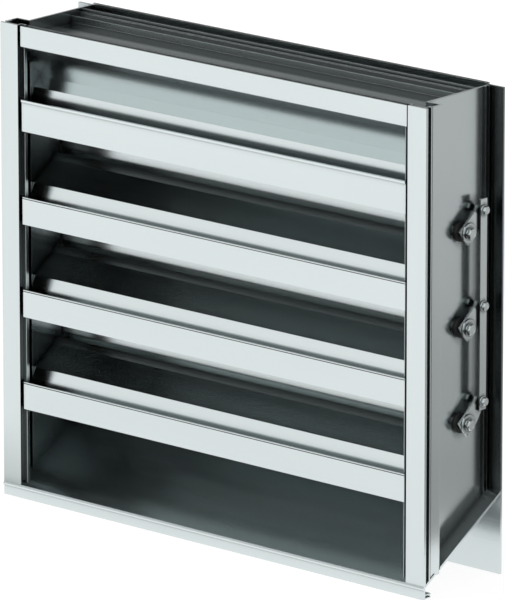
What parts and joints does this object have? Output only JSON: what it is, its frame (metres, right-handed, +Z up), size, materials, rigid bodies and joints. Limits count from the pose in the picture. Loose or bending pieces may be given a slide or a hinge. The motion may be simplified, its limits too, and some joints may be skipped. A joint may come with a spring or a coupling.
{
  "type": "combination louver damper",
  "caption": "Rectangular aluminium louver frame with fixed drainable blades in front and linked movable damper blades behind.",
  "frame": {"origin": "middle of the footprint of the whole louver, on the plane that its sill stands on", "axes": "+X along the width towards the linkage side, +Y from the weather face to the duct side, +Z up"},
  "size_m": [0.7172, 0.154, 0.636],
  "materials": {
    "frame_aluminium": "mill finish, smooth extruded",
    "louver_aluminium": "mill finish, smooth extruded",
    "damper_aluminium": "mill finish",
    "plated_steel": "zinc plated",
    "bush_plastic": "moulded acetal",
    "seal_rubber": "extruded",
    "seal_steel": "stainless strip"
  },
  "bodies": {
    "frame": {"jamb_left": "frame_aluminium", "jamb_right": "frame_aluminium", "sill": "frame_aluminium", "head": "frame_aluminium", "head_baffle": "frame_aluminium", "head_stop": "frame_aluminium", "sill_stop": "frame_aluminium", "jamb_seal_left": "seal_steel", "jamb_seal_right": "seal_steel", "fixed_blade_1": "louver_aluminium", "fixed_blade_2": "louver_aluminium", "fixed_blade_3": "louver_aluminium", "fixed_blade_4": "louver_aluminium", "bearings_right": "bush_plastic", "bearings_left": "bush_plastic"},
    "blade_1": {"damper_blade_1": "damper_aluminium", "blade_seal_1": "seal_rubber", "axle_1": "plated_steel", "crank_arm_1": "plated_steel", "pivot_washer_1": "plated_steel", "pivot_bolt_1": "plated_steel", "link_bolt_1": "plated_steel", "link_nut_1": "plated_steel"},
    "blade_2": {"damper_blade_2": "damper_aluminium", "blade_seal_2": "seal_rubber", "axle_2": "plated_steel", "crank_arm_2": "plated_steel", "pivot_washer_2": "plated_steel", "pivot_bolt_2": "plated_steel", "link_bolt_2": "plated_steel", "link_nut_2": "plated_steel"},
    "blade_3": {"damper_blade_3": "damper_aluminium", "blade_seal_3": "seal_rubber", "axle_3": "plated_steel", "crank_arm_3": "plated_steel", "pivot_washer_3": "plated_steel", "pivot_bolt_3": "plated_steel", "link_bolt_3": "plated_steel", "link_nut_3": "plated_steel"},
    "link_bar": {"link_bar": "plated_steel"}
  },
  "joints": [
    {"name": "blade_1_turn", "type": "hinge", "parent": "frame", "child": "blade_1", "pos_m": [0, 0.0189, 0.4555], "axis": [-1, 0, 0], "range_deg": [0, 40]},
    {"name": "blade_2_turn", "type": "hinge", "parent": "frame", "child": "blade_2", "pos_m": [0, 0.0189, 0.3314], "axis": [-1, 0, 0], "range_deg": [0, 40]},
    {"name": "blade_3_turn", "type": "hinge", "parent": "frame", "child": "blade_3", "pos_m": [0, 0.0189, 0.2073], "axis": [-1, 0, 0], "range_deg": [0, 40]},
    {"name": "link_bar_turn", "type": "hinge", "parent": "blade_1", "child": "link_bar", "pos_m": [0.3508, 0.04491, 0.48097], "axis": [-1, 0, 0], "range_deg": [-40, 0]}
  ],
  "couplings": [
    {"joint": "blade_2_turn", "follows": "blade_1_turn", "ratio": 1},
    {"joint": "blade_3_turn", "follows": "blade_1_turn", "ratio": 1},
    {"joint": "link_bar_turn", "follows": "blade_1_turn", "ratio": -1}
  ]
}
